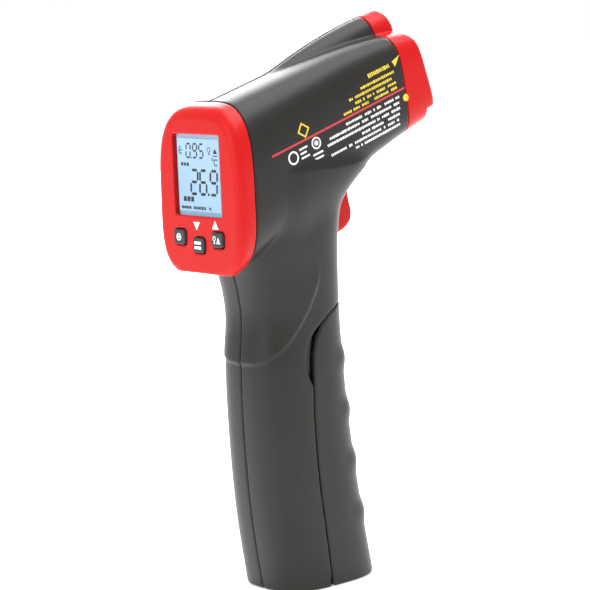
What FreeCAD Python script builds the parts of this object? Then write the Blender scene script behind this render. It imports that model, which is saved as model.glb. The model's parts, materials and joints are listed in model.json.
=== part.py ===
import FreeCAD, Part
import Sketcher
import math
import os
from FreeCAD import Placement, Rotation, Vector

# Infrared thermometer, standing on its butt. +X is the way it points, +Y is port, +Z is up.
# The origin is the centre of the butt's flat face. Lengths are millimetres, angles are degrees.

doc = FreeCAD.newDocument("InfraredThermometer")
sheet = doc.addObject("Spreadsheet::Sheet", "Dimensions")
sheet.Label = "Dimensions"

DIMENSIONS = [
    # alias, value, what it is
    ("wall", 2.0, "thickness of the moulded shells"),
    ("barrel_pitch", 15.0, "barrel axis above level"),
    ("barrel_x", -24.5, "barrel frame origin, forward of the butt centre"),
    ("barrel_z", 155.0, "barrel frame origin, above the butt"),
    ("face_lean", 2.4, "display face, forward lean of its top"),
    ("bezel_depth", 6.1, "display face behind the rear seam"),
    ("front_seam", 63.3, "front seam along the barrel, at its top"),
    ("front_seam_lean", 9.0, "front seam, forward lean of its top"),
    ("front_face", 71.6, "front face along the barrel"),
    ("chin_setback", 3.6, "chin behind the front face"),
    ("chin_drop", 28.6, "chin step below the barrel line"),
    ("head_half_rear", 21.0, "half width of the head at the rear seam"),
    ("head_half_front", 17.6, "half width of the head at the front face"),
    ("head_taper_length", 72.0, "length over which the head tapers"),
    ("hump_radius", 7.0, "laser hump radius"),
    ("hump_rise", 4.05, "laser hump above the barrel line"),
    ("hump_length", 38.0, "length over which the hump rises"),
    ("hump_crest", 62.0, "where the hump is highest, along the barrel"),
    ("window_width", 22.0, "display opening width"),
    ("window_height", 22.7, "display opening height"),
    ("window_centre", -22.2, "display opening centre, down the face"),
    ("window_lip", 1.1, "hidden edge of the window behind the bezel"),
    ("window_thickness", 0.6, "clear window"),
    ("window_recess", 0.25, "window seat behind the display face"),
    ("glass_width", 23.8, "liquid crystal cell width"),
    ("glass_height", 27.0, "liquid crystal cell height"),
    ("glass_thickness", 2.0, "liquid crystal cell"),
    ("backlight_thickness", 1.5, "backlight panel"),
    ("board_thickness", 1.2, "circuit boards"),
    ("display_board_width", 33.0, "display board width"),
    ("display_board_height", 40.0, "display board height"),
    ("button_width", 5.6, "button cap width"),
    ("button_height", 4.7, "button cap height"),
    ("button_proud", 0.8, "button cap above the face"),
    ("button_travel", 0.6, "button travel"),
    ("button_gap", 0.2, "gap round a button cap"),
    ("button_pitch", 9.8, "spacing of the buttons across"),
    ("button_row", -41.5, "outer buttons, down the face"),
    ("button_drop", 2.1, "middle button below the outer ones"),
    ("optic_drop", 16.6, "infrared axis below the barrel line"),
    ("aperture_radius", 9.1, "front opening"),
    ("barrel_tube_radius", 9.7, "outside of the sensor barrel"),
    ("lens_radius", 7.3, "infrared lens"),
    ("lens_thickness", 2.2, "infrared lens at its centre"),
    ("can_radius", 4.6, "thermopile can"),
    ("laser_radius", 3.0, "laser module"),
    ("laser_length", 14.0, "laser module"),
    ("laser_hole", 1.9, "laser opening radius"),
    ("trigger_width", 11.0, "trigger across"),
    ("trigger_pin_radius", 1.0, "trigger pin"),
    ("trigger_pivot_x", 10.4, "trigger pivot, forward"),
    ("trigger_pivot_z", 122.4, "trigger pivot, up"),
    ("trigger_gap", 0.35, "gap round the trigger"),
    ("trigger_travel", 6.0, "trigger swing"),
    ("cover_pivot_x", -1.6, "battery cover pivot, forward"),
    ("cover_pivot_z", 2.2, "battery cover pivot, up"),
    ("cover_knuckle", 2.1, "battery cover knuckle radius"),
    ("cover_pin_radius", 0.8, "battery cover pin"),
    ("cover_gap", 0.2, "gap round the battery cover"),
    ("pin_clearance", 0.05, "running clearance of a pin, radial"),
    ("battery_depth", 17.5, "battery, fore and aft"),
    ("battery_width", 26.5, "battery, across"),
    ("battery_height", 46.0, "battery case without its terminals"),
    ("battery_x", -1.75, "battery centre, forward"),
    ("battery_z", 12.0, "battery base, up"),
    ("battery_corner", 2.5, "battery corner radius"),
    ("terminal_radius", 3.4, "battery terminal"),
    ("terminal_height", 2.6, "battery terminal"),
    ("terminal_pitch", 12.7, "battery terminals, centre to centre"),
    ("screw_radius", 1.3, "housing screw shank"),
    ("screw_head_radius", 2.6, "housing screw head"),
    ("screw_head_height", 1.6, "housing screw head"),
    ("screw_length", 13.0, "housing screw shank"),
    ("boss_radius", 3.3, "screw boss"),
    ("lead_radius", 0.65, "battery lead"),
]

for row, (alias, value, note) in enumerate(DIMENSIONS, start=1):
    sheet.set(f"A{row}", note)
    sheet.set(f"B{row}", str(value))
    sheet.setAlias(f"B{row}", alias)
doc.recompute()

D = {alias: float(sheet.get(alias)) for alias, _, _ in DIMENSIONS}
PARTS = []

BARREL = Placement(Vector(D["barrel_x"], 0, D["barrel_z"]), Rotation(Vector(0, 1, 0), -D["barrel_pitch"]))
FACE = Placement(Vector(D["barrel_x"], 0, D["barrel_z"]), Rotation(Vector(0, 1, 0), D["face_lean"]))
UPRIGHT = Placement()
ALONG_X = Rotation(Vector(0, 1, 0), 90)
ALONG_Y = Rotation(Vector(1, 0, 0), -90)
NO_TURN = Rotation()
BIG = 400.0


# ---------------------------------------------------------------- helpers

def spot(frame, x, y, z, turn=NO_TURN):
    """A placement at a point of a frame, turned within it."""
    return frame.multiply(Placement(Vector(x, y, z), turn))


def primitive(kind, name, placement, **sizes):
    """A Part primitive whose sizes are expressions on the sheet."""
    item = doc.addObject("Part::" + kind, name)
    for key, expression in sizes.items():
        item.setExpression(key, expression)
    item.Placement = placement
    return item


def box(name, frame, x, y, z, length, width, height):
    """A box centred on y, from x forward and z up; its sizes are expressions."""
    item = primitive("Box", name, UPRIGHT, Length=length, Width=width, Height=height)
    doc.recompute()
    item.Placement = spot(frame, x, y - item.Width.Value / 2, z)
    return item


def rod(name, frame, x, y, z, radius, length, turn=NO_TURN):
    return primitive("Cylinder", name, spot(frame, x, y, z, turn), Radius=radius, Height=length)


def tube(name, frame, x, y, z, outer, inner, length, turn=NO_TURN):
    outside = rod(name + "_outside", frame, x, y, z, outer, length, turn)
    inside = rod(name + "_inside", frame, x, y, z, inner, length, turn)
    return cut(name, outside, inside)


def cut(name, base, tool):
    item = doc.addObject("Part::Cut", name)
    item.Base = base
    item.Tool = tool
    return item


def fuse(name, *items):
    item = doc.addObject("Part::MultiFuse", name)
    item.Shapes = list(items)
    return item


def group(name, *items):
    """Separate solids kept together in one sub-part."""
    item = doc.addObject("Part::Compound", name)
    item.Links = list(items)
    return item


def coded(name, shape, placement=UPRIGHT):
    """A sub-part whose free-form shape is computed from the sheet's sizes."""
    item = doc.addObject("Part::Feature", name)
    item.Shape = shape
    item.Placement = placement
    return item


def keep(item, label):
    item.Label = label
    PARTS.append(item)
    return item


def plate(name, frame, x, z, width, height, thickness, corner, y=0.0):
    """A rounded plate square to the frame's X, centred on y and z: a PartDesign body."""
    body = doc.addObject("PartDesign::Body", name)
    sketch = body.newObject("Sketcher::SketchObject", name + "_outline")
    side = [f for f in body.Origin.OriginFeatures if f.Role == "YZ_Plane"][0]
    sketch.AttachmentSupport = (side, [""])
    sketch.MapMode = "FlatFace"
    corners = [Vector(-1, -1, 0), Vector(1, -1, 0), Vector(1, 1, 0), Vector(-1, 1, 0)]
    for k in range(4):
        sketch.addGeometry(Part.LineSegment(corners[k], corners[(k + 1) % 4]), False)
    for k in range(4):
        sketch.addConstraint(Sketcher.Constraint("Coincident", k, 2, (k + 1) % 4, 1))
    for k, way in enumerate(("Horizontal", "Vertical", "Horizontal", "Vertical")):
        sketch.addConstraint(Sketcher.Constraint(way, k))
    sketch.addConstraint(Sketcher.Constraint("Symmetric", 0, 1, 1, 2, -1, 1))
    across = sketch.addConstraint(Sketcher.Constraint("DistanceX", 0, 1, 0, 2, 2.0))
    upward = sketch.addConstraint(Sketcher.Constraint("DistanceY", 1, 1, 1, 2, 2.0))
    sketch.setExpression(f"Constraints[{across}]", width)
    sketch.setExpression(f"Constraints[{upward}]", height)
    pad = body.newObject("PartDesign::Pad", name + "_pad")
    pad.Profile = sketch
    pad.setExpression("Length", thickness)
    doc.recompute()
    edges = [f"Edge{k}" for k, edge in enumerate(pad.Shape.Edges, start=1)
             if abs(edge.tangentAt(edge.FirstParameter).x) > 0.99]
    fillet = body.newObject("PartDesign::Fillet", name + "_corners")
    fillet.Base = (pad, edges)
    fillet.setExpression("Radius", corner)
    body.Tip = fillet
    body.Placement = spot(frame, x, y, z)
    doc.recompute()
    return body


def blend(start, end, share):
    return start + (end - start) * share


def limit(value):
    return min(max(value, 0.0), 1.0)


# ---------------------------------------------------------------- outer form

def oval(half, up, down, power, count=28):
    """Points of a squared oval; power 2 is an ellipse, and a higher one is squarer."""
    points = []
    for k in range(count):
        angle = 2 * math.pi * (k + 0.5) / count
        across = math.cos(angle)
        high = math.sin(angle)
        reach = (abs(across) ** power + abs(high) ** power) ** (-1 / power)
        points.append((half * reach * across, (up if high > 0 else down) * reach * high))
    return points


def closed_wire(points):
    curve = Part.BSplineCurve()
    curve.interpolate(points, PeriodicFlag=True)
    return Part.Wire([curve.toShape()])


def head_top(along):
    """Barrel top line: straight, then falling away towards the muzzle."""
    return -0.0031 * max(along - 38.0, 0.0) ** 2


def head_bottom(along):
    """Barrel underside: it rises steeply past the grip, and gently ahead of the trigger."""
    if along < 45.6:
        return -45.9 + 0.231 * along
    return -35.35 + 0.108 * (along - 45.6)


def head_section(along, inset):
    share = along / D["head_taper_length"]
    half = blend(D["head_half_rear"], D["head_half_front"], share)
    middle = blend(-27.0, -17.5, max(share, -0.3))
    power = blend(3.4, 4.5, limit(share))
    up = head_top(along) - middle - inset
    down = middle - head_bottom(along) - inset
    return closed_wire([Vector(along, y, middle + w) for y, w in oval(half - inset, up, down, power)])


def hump_section(along, inset):
    rise = D["hump_rise"] * (1 - (min(along - D["hump_crest"], 0) / D["hump_length"]) ** 2)
    radius = D["hump_radius"]
    circle = Part.Circle(Vector(along, 0, rise - radius), Vector(1, 0, 0), radius - inset)
    return Part.Wire([circle.toShape()])


# height, back, front, half width, squareness of the grip's sections
GRIP_SECTIONS = [
    (0.0, -18.7, 19.4, 16.6, 2.9),
    (22.0, -20.8, 16.7, 16.6, 2.9),
    (48.0, -21.5, 14.4, 16.5, 2.85),
    (70.0, -20.7, 13.4, 16.5, 2.85),
    (90.0, -18.9, 13.4, 16.6, 2.8),
    (100.0, -20.4, 13.6, 17.2, 2.9),
    (110.0, -24.0, 14.0, 18.0, 3.1),
    (121.0, -24.0, 16.2, 18.7, 3.4),
    (130.0, -24.0, 23.4, 18.9, 3.8),
]


def grip_section(height, back, front, half, power, inset):
    centre = (back + front) / 2
    deep = (front - back) / 2 - inset
    points = oval(deep, half - inset, half - inset, power)
    return closed_wire([Vector(centre + x, y, height) for x, y in points])


def outer_form(inset):
    """Head, laser hump and grip as one solid, drawn in by inset on every side wall."""
    stations = (-30, -15, 5, 25, 45.6, 60, 90)
    head = Part.makeLoft([head_section(u, inset) for u in stations], True, False)
    hump = Part.makeLoft([hump_section(u, inset) for u in (24, 34, 44, 54, 64, 74)], True, False)
    grip = Part.makeLoft([grip_section(*row, inset) for row in GRIP_SECTIONS], True, False)
    body = head.fuse(hump)
    body.Placement = BARREL
    body = body.fuse(grip)
    body = body.common(half_space(spot(FACE, inset - D["bezel_depth"], 0, 0)))
    body = body.cut(half_space(spot(BARREL, D["front_face"] - inset, 0, 0)))
    step = Part.makeBox(60, 100, 60, Vector(D["front_face"] - D["chin_setback"] - inset, -50,
                                            -60 - D["chin_drop"] + inset))
    step.Placement = BARREL
    body = body.cut(step)
    return body


def half_space(placement):
    """Everything on the +X side of a placement's YZ plane."""
    block = Part.makeBox(BIG, BIG, BIG, Vector(0, -BIG / 2, -BIG / 2))
    block.Placement = placement
    return block


def prism(points, half_width):
    """A closed XZ outline stretched across Y."""
    ring = [Vector(x, -half_width, z) for x, z in points]
    wire = Part.makePolygon(ring + ring[:1])
    return Part.Face(wire).extrude(Vector(0, 2 * half_width, 0))


def cylinder_y(x, z, radius, y_from, y_to):
    return Part.makeCylinder(radius, y_to - y_from, Vector(x, y_from, z), Vector(0, 1, 0))


def cylinder_x(frame, along, y, height, radius, length):
    solid = Part.makeCylinder(radius, length, Vector(along, y, height), Vector(1, 0, 0))
    solid.Placement = frame
    return solid


def box_at(frame, x0, x1, y0, y1, z0, z1):
    solid = Part.makeBox(x1 - x0, y1 - y0, z1 - z0, Vector(x0, y0, z0))
    solid.Placement = frame
    return solid


outside = outer_form(0.0)
hollow = outer_form(D["wall"])
above_floor = half_space(Placement(Vector(0, 0, D["wall"]), Rotation(Vector(0, 1, 0), -90)))
hollow = hollow.common(above_floor)
rear_seam = spot(FACE, 0, 0, 0)
front_seam = spot(BARREL, D["front_seam"], 0, 0, Rotation(Vector(0, 1, 0), D["front_seam_lean"]))

# ---------------------------------------------------------------- rear bezel

BUTTONS = {
    "left": (D["button_pitch"], D["button_row"]),
    "middle": (0.0, D["button_row"] - D["button_drop"]),
    "right": (-D["button_pitch"], D["button_row"]),
}


def face_opening(width, height, y, centre, depth_from, depth_to):
    return box_at(FACE, depth_from, depth_to, y - width / 2, y + width / 2, centre - height / 2,
                  centre + height / 2)


face_at = -D["bezel_depth"]
window_at = face_at + D["window_recess"]
rear_bezel = outside.cut(half_space(rear_seam)).cut(hollow)
rear_bezel = rear_bezel.cut(face_opening(D["window_width"], D["window_height"], 0, D["window_centre"],
                                         face_at - 5, 0))
seat_width = D["window_width"] + 2 * D["window_lip"] + 0.2
seat_height = D["window_height"] + 2 * D["window_lip"] + 0.2
rear_bezel = rear_bezel.cut(face_opening(seat_width, seat_height, 0, D["window_centre"], window_at, 0))
for y, s in BUTTONS.values():
    hole_width = D["button_width"] + 2 * D["button_gap"]
    hole_height = D["button_height"] + 2 * D["button_gap"]
    rear_bezel = rear_bezel.cut(face_opening(hole_width, hole_height, y, s, face_at - 5, 0))
keep(coded("RearBezel", rear_bezel), "rear_bezel")

keep(plate("Window", FACE, window_at + 0.05, D["window_centre"],
           "Dimensions.window_width + 2 * Dimensions.window_lip",
           "Dimensions.window_height + 2 * Dimensions.window_lip", "Dimensions.window_thickness",
           "0.8"), "display_window")
glass_at = face_at + D["wall"] + 0.05
glass_centre = D["window_centre"] - 0.5
cell = plate("Glass", FACE, glass_at, glass_centre, "Dimensions.glass_width", "Dimensions.glass_height",
             "Dimensions.glass_thickness", "0.4")
polariser_at = window_at + D["window_thickness"] + 0.1
polariser = plate("Polariser", FACE, polariser_at, D["window_centre"], "Dimensions.window_width - 0.4",
                  "Dimensions.window_height - 0.4", str(round(glass_at - polariser_at + 0.5, 3)), "0.4")
keep(fuse("LiquidCrystal", cell, polariser), "lcd_glass")
frame_outer = plate("FrameOuter", FACE, glass_at, glass_centre, "Dimensions.glass_width + 3.4",
                    "Dimensions.glass_height + 3", "Dimensions.glass_thickness + 1.6", "1.5")
frame_inner = plate("FrameInner", FACE, glass_at - 1, glass_centre, "Dimensions.glass_width + 0.2",
                    "Dimensions.glass_height + 0.2", "Dimensions.glass_thickness + 6", "0.4")
keep(cut("LcdFrame", frame_outer, frame_inner), "lcd_frame")
backlight_at = glass_at + D["glass_thickness"] + 0.05
keep(plate("Backlight", FACE, backlight_at, glass_centre + 2.2, "Dimensions.glass_width - 0.8",
           "Dimensions.glass_height - 5", "Dimensions.backlight_thickness", "0.6"), "lcd_backlight")
board_at = glass_at + D["glass_thickness"] + 1.8
keep(plate("ZebraStrip", FACE, backlight_at, glass_centre - 11.6, "Dimensions.glass_width - 3", "2",
           "1.7", "0.3"),
     "elastomer_strip")
board_centre = -26.0
keep(plate("DisplayBoard", FACE, board_at, board_centre, "Dimensions.display_board_width",
           "Dimensions.display_board_height", "Dimensions.board_thickness", "6"), "display_board")

switch_solids = []
for name, (y, s) in BUTTONS.items():
    case = box("SwitchCase" + name, FACE, board_at - 1.0, y, s - 1.9, "1.0", "3.8", "3.8")
    dome = rod("SwitchDome" + name, FACE, board_at - 1.3, y, s, "1", "0.6", ALONG_X)
    switch_solids.append(fuse("Switch" + name, case, dome))
keep(group("ButtonSwitches", *switch_solids), "button_switches")

flange_at = face_at + D["wall"] + 0.1
dome_at = board_at - 1.3
for name, (y, s) in BUTTONS.items():
    cap = plate("Cap" + name, FACE, face_at - D["button_proud"], s, "Dimensions.button_width",
                "Dimensions.button_height",
                "Dimensions.button_proud + Dimensions.wall + 0.3", "1.2", y)
    flange = plate("Flange" + name, FACE, flange_at, s, "Dimensions.button_width + 1.6",
                   "Dimensions.button_height + 1",
                   "0.5", "1.2", y)
    stem_length = dome_at - flange_at - D["button_travel"] - 0.1
    stem = rod("Stem" + name, FACE, flange_at, y, s, "1.1", str(round(stem_length, 4)), ALONG_X)
    keep(fuse("Button" + name, cap, flange, stem), "button_" + name)

# ---------------------------------------------------------------- front bezel and optics

optic = -D["optic_drop"]
laser_height = D["hump_rise"] - D["hump_radius"]
front_wall = 2.4
front_hollow = hollow.cut(half_space(spot(BARREL, D["front_face"] - front_wall, 0, 0)))
front_bezel = outside.common(half_space(front_seam)).cut(front_hollow)
front_bezel = front_bezel.cut(cylinder_x(BARREL, 40, 0, optic, D["aperture_radius"], 60))
front_bezel = front_bezel.cut(cylinder_x(BARREL, 40, 0, laser_height, D["laser_hole"], 60))
keep(coded("FrontBezel", front_bezel), "front_bezel")

tube_front = D["front_face"] - front_wall - 0.1
tube_length = 24.0
tube_back = tube_front - tube_length
lens_at = tube_front - 9.0
barrel_body = rod("SensorBarrelBody", BARREL, tube_back, 0, optic, "Dimensions.barrel_tube_radius",
                  "24", ALONG_X)
front_bore = rod("SensorBarrelFront", BARREL, lens_at, 0, optic, "Dimensions.lens_radius + 0.1", "12",
                 ALONG_X)
rear_bore = rod("SensorBarrelRear", BARREL, tube_back + 6, 0, optic, "Dimensions.lens_radius - 1.4",
                "12", ALONG_X)
can_bore = rod("SensorBarrelCan", BARREL, tube_back - 1, 0, optic, "Dimensions.can_radius + 0.1", "12",
               ALONG_X)
barrel_bores = fuse("SensorBarrelBores", front_bore, rear_bore, can_bore)
keep(cut("SensorBarrel", barrel_body, barrel_bores), "sensor_barrel")

lens_disc = rod("LensDisc", BARREL, lens_at + 0.05, 0, optic, "Dimensions.lens_radius",
                "Dimensions.lens_thickness", ALONG_X)
lens_ball = primitive("Sphere", "LensBall", spot(BARREL, lens_at + 0.05 + D["lens_thickness"] - 22.0, 0,
                                                 optic), Radius="22")
lens = doc.addObject("Part::Common", "Lens")
lens.Base = lens_disc
lens.Tool = lens_ball
keep(lens, "infrared_lens")
keep(tube("LensRing", BARREL, lens_at + D["lens_thickness"] + 0.1, 0, optic, "Dimensions.lens_radius",
          "Dimensions.lens_radius - 1.2", "1.4", ALONG_X), "lens_ring")

can = rod("SensorCan", BARREL, tube_back - 0.3, 0, optic, "Dimensions.can_radius", "5", ALONG_X)
can_foot = rod("SensorFoot", BARREL, tube_back - 0.8, 0, optic, "Dimensions.can_radius + 0.6", "0.7",
               ALONG_X)
pins = []
for k in range(4):
    angle = math.pi / 4 + k * math.pi / 2
    pins.append(rod(f"SensorPin{k}", BARREL, tube_back - 3.2, 2.5 * math.cos(angle),
                    optic + 2.5 * math.sin(angle),
                    "0.22", "3", ALONG_X))
keep(fuse("Sensor", can, can_foot, *pins), "thermopile_sensor")
sensor_plate = plate("SensorBoardPlate", BARREL, tube_back - 2.4, optic, "21", "19",
                     "Dimensions.board_thickness", "2")
pin_holes = []
for k in range(4):
    angle = math.pi / 4 + k * math.pi / 2
    pin_holes.append(rod(f"SensorHole{k}", BARREL, tube_back - 4, 2.5 * math.cos(angle),
                         optic + 2.5 * math.sin(angle),
                         "0.3", "6", ALONG_X))
keep(cut("SensorBoard", sensor_plate, fuse("SensorHoles", *pin_holes)), "sensor_board")

laser_front = D["front_face"] - front_wall - 1.3
laser_back = laser_front - D["laser_length"]
keep(rod("Laser", BARREL, laser_back, 0, laser_height, "Dimensions.laser_radius",
         "Dimensions.laser_length", ALONG_X),
     "laser_module")
keep(tube("LaserClamp", BARREL, laser_back + 2, 0, laser_height, "Dimensions.laser_radius + 0.8",
          "Dimensions.laser_radius + 0.05", "7", ALONG_X), "laser_clamp")
keep(rod("LaserWindow", BARREL, laser_front + 0.3, 0, laser_height, "Dimensions.laser_hole + 0.7",
         "0.8", ALONG_X),
     "laser_window")

# ---------------------------------------------------------------- trigger

pivot_x = D["trigger_pivot_x"]
pivot_z = D["trigger_pivot_z"]
TRIGGER_OUTLINE = [
    (22.6, 128.0), (24.6, 115.2), (23.9, 112.2), (21.6, 109.9), (16.0, 107.6), (9.2, 106.4),
    (7.4, 108.2), (7.2, 124.6), (9.6, 126.2), (15.2, 126.4),
]


def grown(points, amount):
    ring = [Vector(x, 0, z) for x, z in points]
    wire = Part.makePolygon(ring + ring[:1])
    return [(v.X, v.Z) for v in wire.makeOffset2D(amount, 2).OrderedVertexes]


half_trigger = D["trigger_width"] / 2
trigger = prism(TRIGGER_OUTLINE, half_trigger)
long_edges = [edge for edge in trigger.Edges if abs(edge.tangentAt(0).y) > 0.9]
nose = [edge for edge in long_edges if 110 < edge.CenterOfMass.z < 116 and edge.CenterOfMass.x > 22.5]
trigger = trigger.makeFillet(1.4, nose)
trigger = trigger.cut(cylinder_y(pivot_x, pivot_z, D["trigger_pin_radius"] + D["pin_clearance"], -9, 9))
trigger = trigger.cut(cylinder_y(pivot_x, pivot_z, 3.4, -9, -half_trigger + 1.5))
trigger = trigger.cut(cylinder_y(pivot_x, pivot_z, 3.4, half_trigger - 1.5, 9))
keep(coded("Trigger", trigger), "trigger")
keep(rod("TriggerPin", UPRIGHT, pivot_x, -9.5, pivot_z, "Dimensions.trigger_pin_radius", "19", ALONG_Y),
     "trigger_pin")

spring_x = 2.6
spring_z = 118.0
spring_length = 7.2 - spring_x - 0.9
coil = Part.makeHelix(spring_length / 4.5, spring_length, 1.9)
wire_ring = Part.Wire([Part.Circle(Vector(1.9, 0, 0), Vector(0, 1, 0), 0.3).toShape()])
spring = Part.Wire(coil).makePipeShell([wire_ring], True, True)
keep(coded("TriggerSpring", spring, Placement(Vector(spring_x + 0.4, 0, spring_z), ALONG_X)),
     "trigger_spring")

switch_case = box("TriggerSwitchCase", UPRIGHT, -2.2, 0, 106.5, "6.4", "6.5", "7.2")
switch_tip = rod("TriggerSwitchTip", UPRIGHT, 4.0, 0, 109.6, "1.1", "1.9", ALONG_X)
keep(fuse("TriggerSwitch", switch_case, switch_tip), "trigger_switch")

# ---------------------------------------------------------------- grip: cover, battery, tray

cover_x = D["cover_pivot_x"]
cover_z = D["cover_pivot_z"]
knuckle = D["cover_knuckle"]


def cover_region(gap):
    """The side view of the battery cover, drawn in by gap at its seam."""
    seam = [(-3.2 + gap, -5), (-3.9 + gap, 9), (-4.8 + gap, 22), (-5.5 + gap, 32), (-5.8 + gap, 44),
            (-5.6 + gap, 56),
            (-4.8 + gap, 68), (-4.2 + gap, 74.5), (-2.9 + gap, 79.5 - gap), (-0.4 + gap, 83.4 - gap),
            (3.2, 86.2 - gap), (8.0, 88.4 - gap), (16.0, 90.6 - gap), (40, 94 - gap), (40, -5)]
    return prism(seam, 40)


KNUCKLE_HALF = 10.8
EAR_HALF = 13.6


def cover_half(low, high):
    block = box_at(UPRIGHT, -100, 100, low, high, -20, 220)
    half = outside.common(block).common(cover_region(D["cover_gap"])).cut(hollow)
    return half.cut(cylinder_y(cover_x, cover_z, knuckle + 0.1, -EAR_HALF - 0.3, EAR_HALF + 0.3))


heel = box_at(UPRIGHT, -20, cover_x, -40, 40, -1, cover_z).cut(cylinder_y(cover_x, cover_z, cover_z,
                                                                          -40, 40))
shell_cover = cover_half(0.0, 60.0).fuse(cover_half(-60.0, 0.0)).cut(heel)
cover_hinge = cylinder_y(cover_x, cover_z, knuckle, -KNUCKLE_HALF, KNUCKLE_HALF)
cover_web = prism([(cover_x, 0.3), (cover_x + 7, 0.3), (cover_x + 7, 2.4),
                   (cover_x, cover_z + knuckle)], KNUCKLE_HALF)
battery_cover = shell_cover.fuse(cover_hinge).fuse(cover_web)
pin_bore = D["cover_pin_radius"] + D["pin_clearance"]
battery_cover = battery_cover.cut(cylinder_y(cover_x, cover_z, pin_bore, -EAR_HALF - 0.3, EAR_HALF + 0.3))
keep(coded("BatteryCover", battery_cover), "battery_cover")
keep(rod("BatteryCoverPin", UPRIGHT, cover_x, -EAR_HALF, cover_z, "Dimensions.cover_pin_radius", "27.2",
         ALONG_Y),
     "battery_cover_pin")

UP = Placement(Vector(D["battery_x"], 0, D["battery_z"]), Rotation(Vector(0, 1, 0), -90))
battery_case = plate("BatteryCase", UP, 0, 0, "Dimensions.battery_width", "Dimensions.battery_depth",
                     "Dimensions.battery_height", "Dimensions.battery_corner")
battery_top = D["battery_z"] + D["battery_height"]
terminals = [rod(f"Terminal{k}", UPRIGHT, D["battery_x"], side * D["terminal_pitch"] / 2,
                 battery_top - 0.1,
                 "Dimensions.terminal_radius", "Dimensions.terminal_height")
             for k, side in enumerate((-1, 1))]
keep(fuse("Battery", battery_case, *terminals), "battery")

snap_block = box("SnapBlock", UPRIGHT, D["battery_x"] - 5.5, 0, battery_top + 0.2, "11", "23", "4.2")
snap_sockets = [rod(f"SnapSocket{k}", UPRIGHT, D["battery_x"], side * D["terminal_pitch"] / 2,
                    battery_top - 1,
                    "Dimensions.terminal_radius + 0.1", "Dimensions.terminal_height + 1.2")
                for k, side in enumerate((-1, 1))]
keep(cut("Snap", snap_block, fuse("SnapSockets", *snap_sockets)), "battery_snap")
snap_top = battery_top + 4.4

tray_back_x = D["battery_x"] - D["battery_depth"] / 2 - 1.4
tray_back = box("TrayBack", UPRIGHT, tray_back_x, 0, 10.4, "1.2", "22", "56")
tray_floor = box("TrayFloor", UPRIGHT, tray_back_x, 0, 10.4, "17", "22", "1.4")
tray_roof = box("TrayRoof", UPRIGHT, tray_back_x, 0, 65.0, "17", "22", "1.4")
lead_slot = box("TraySlot", UPRIGHT, D["battery_x"] - 4, 0, 60, "8", "12", "10")
keep(cut("Tray", fuse("TrayWalls", tray_back, tray_floor, tray_roof), lead_slot), "battery_tray")


def pipe(points, radius):
    """A lead: straight runs joined by tangent arcs, as large as the runs allow."""
    corners = [Vector(*p) for p in points]
    edges = []
    start = corners[0]
    for before, corner, after in zip(corners, corners[1:], corners[2:]):
        into = (corner - before).normalize()
        away = (after - corner).normalize()
        half_turn = into.getAngle(away) / 2
        setback = 0.45 * min((corner - before).Length, (after - corner).Length)
        first = corner - into * setback
        last = corner + away * setback
        bisector = (away - into).normalize()
        bend = setback / math.tan(half_turn)
        middle = corner + bisector * (bend / math.cos(half_turn) - bend)
        edges.append(Part.LineSegment(start, first).toShape())
        edges.append(Part.Arc(first, middle, last).toShape())
        start = last
    edges.append(Part.LineSegment(start, corners[-1]).toShape())
    route = Part.Wire(edges)
    direction = (corners[1] - corners[0]).normalize()
    ring = Part.Wire([Part.Circle(corners[0], direction, radius).toShape()])
    return route.makePipeShell([ring], True, False)


LEAD_ROUTES = {
    "red": [(-1.8, 4.0, snap_top), (-2.0, 4.0, 76), (-6.0, 5.5, 92), (-8.0, 3.6, 105), (-10.5, 1.8, 116)],
    "black": [(-1.8, -4.0, snap_top), (-2.4, -4.0, 78), (-5.0, -5.5, 93), (-9.0, -3.0, 105),
              (-12.5, 0.4, 115)],
}
for colour, route in LEAD_ROUTES.items():
    keep(coded("Lead" + colour, pipe(route, D["lead_radius"])), "battery_lead_" + colour)

# ---------------------------------------------------------------- boards in the head

board_y = 5.0
main_board = box("MainBoard", BARREL, 6.0, board_y + 0.6, -33.4, "34", "Dimensions.board_thickness",
                 "21.9")
keep(main_board, "main_board")
chip = box("ChipCase", BARREL, 20, board_y - 0.8, -30, "10", "1.4", "10")
keep(chip, "processor_chip")
caps = [rod(f"Capacitor{k}", BARREL, u, board_y - 5.6, w, "2.4", "5.5", ALONG_Y) for k,
        (u, w) in enumerate(((11, -17), (17, -17)))]
chips = [box(f"Resistor{k}", BARREL, 22 + 3.2 * k, board_y - 0.5, -17, "1.6", "0.8",
             "3") for k in range(5)]
keep(group("BoardComponents", *caps, *chips), "board_components")
keep(rod("Buzzer", BARREL, 13.0, board_y - 4.7, -29.5, "5.5", "4.6", ALONG_Y), "buzzer")

# ---------------------------------------------------------------- housing halves and screws

barrel_spot = BARREL.multVec
SCREWS = [
    (barrel_spot(Vector(9, 0, -7)).x, barrel_spot(Vector(9, 0, -7)).z),
    (barrel_spot(Vector(36.5, 0, -7.5)).x, barrel_spot(Vector(36.5, 0, -7.5)).z),
    (-12.5, 98.5),
    (-15.3, 74.0),
    (-15.8, 42.0),
    (-14.2, 8.0),
]
slot = prism(grown(TRIGGER_OUTLINE, D["trigger_gap"] + 0.5), half_trigger + D["trigger_gap"])
between_seams = outside.common(half_space(rear_seam)).cut(half_space(front_seam))
head_start = 6.5
ring_rib = box_at(BARREL, 48, 50, -20, 20, -34, -5)
ring_rib = ring_rib.cut(cylinder_x(BARREL, 40, 0, optic, D["barrel_tube_radius"] + 0.05, 30))


def mirrored_span(side, near, far):
    """A Y range on the port side (1) or the starboard side (-1)."""
    return (near, far) if side > 0 else (-far, -near)


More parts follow.
